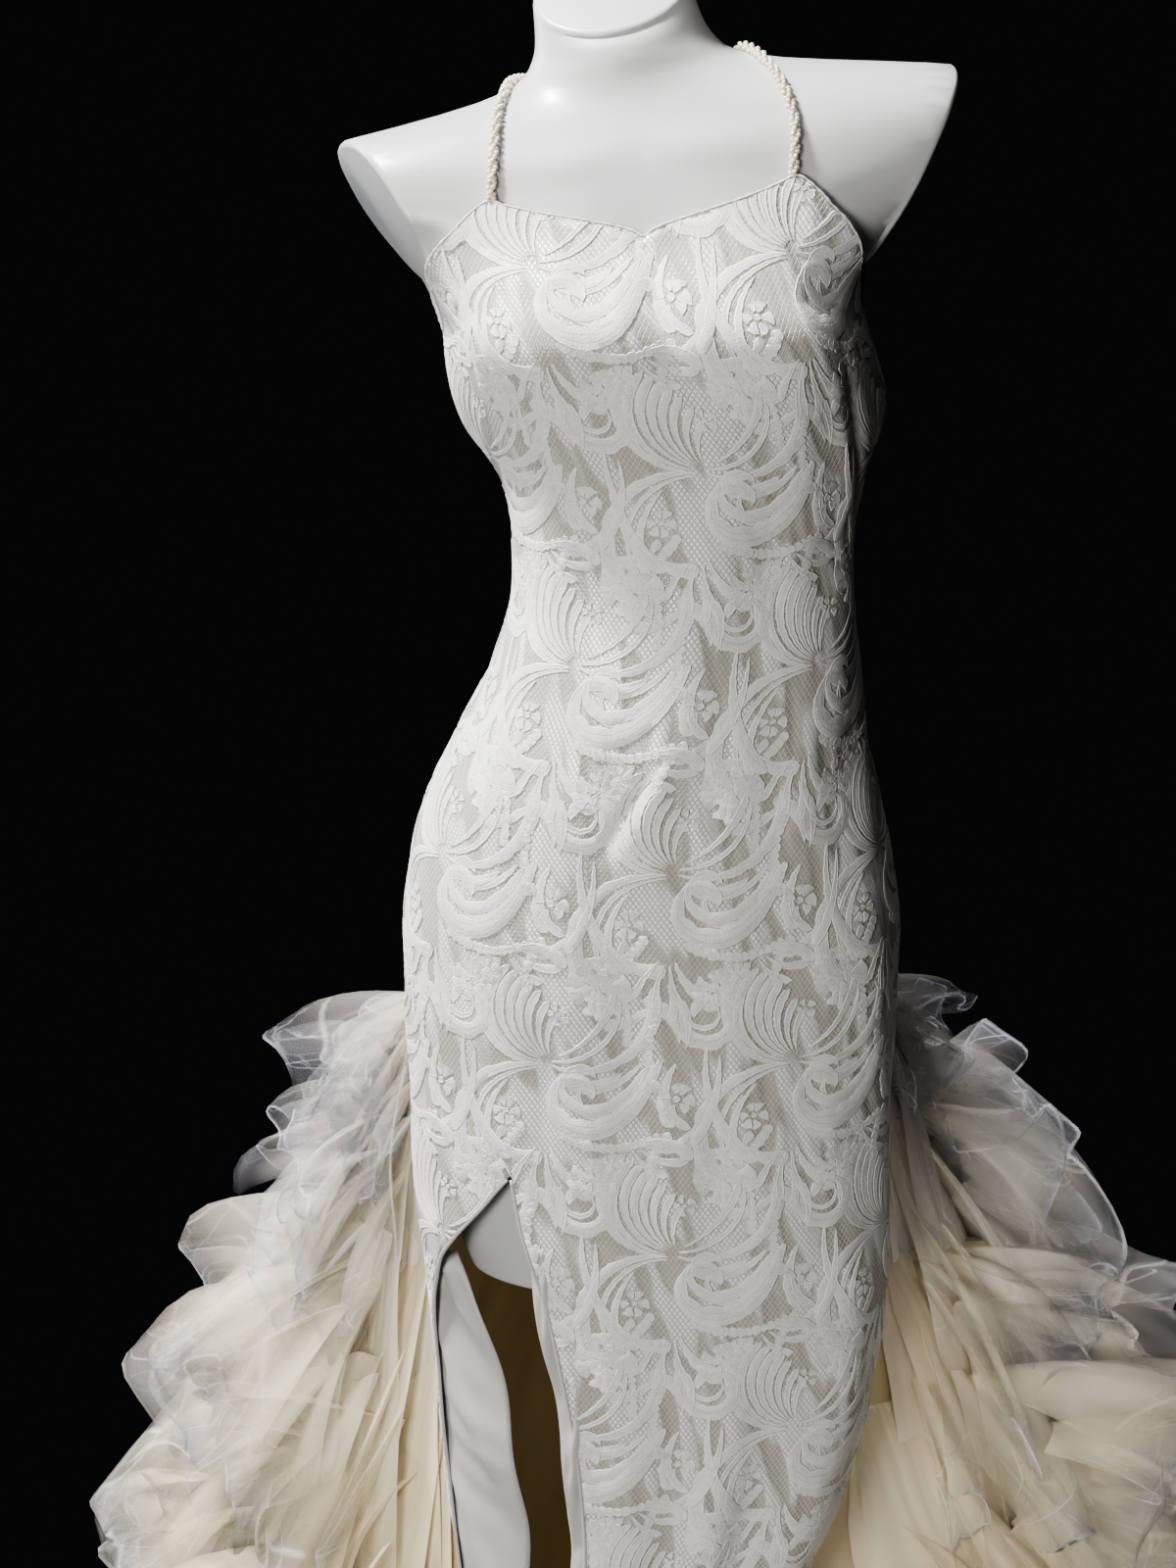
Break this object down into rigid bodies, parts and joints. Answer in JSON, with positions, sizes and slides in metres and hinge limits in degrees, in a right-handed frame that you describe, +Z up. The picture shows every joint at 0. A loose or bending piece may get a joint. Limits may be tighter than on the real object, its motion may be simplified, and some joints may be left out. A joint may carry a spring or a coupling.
{
  "type": "mermaid evening dress on a limbless dress form",
  "caption": "Mermaid evening dress: lace column with a beaded halter strap, low back, side slit and tiered ruffle train, on a limbless dress form with a pole and round base.",
  "frame": {"origin": "centre of the underside of the stand's round base, on the floor", "axes": "+Z up; the dress faces -Y; +X is to the wearer's left, and the slit is on the wearer's right"},
  "size_m": [1.0354, 0.9114, 1.475],
  "materials": {
    "lace": "corded lace over satin",
    "satin": "satin",
    "tulle": "sheer net, matte",
    "beads": "pearl",
    "form": "semi-gloss white",
    "metal": "satin"
  },
  "bodies": {
    "root": {"back_panel_left": "lace", "back_panel_right": "lace", "form_torso": "form", "front_panel": "lace", "halter_strap": "beads", "lining_slit_inner": "satin", "lining_slit_outer": "satin", "ruffle_tier_1": "tulle", "ruffle_tier_2": "tulle", "ruffle_tier_3": "tulle", "ruffle_tier_4": "tulle", "ruffle_tier_5": "tulle", "ruffle_tier_6": "tulle", "slit_piping_inner": "satin", "slit_piping_outer": "satin", "stand_base": "metal", "stand_plate": "metal", "stand_pole": "metal", "train_skirt": "satin"}
  },
  "joints": []
}
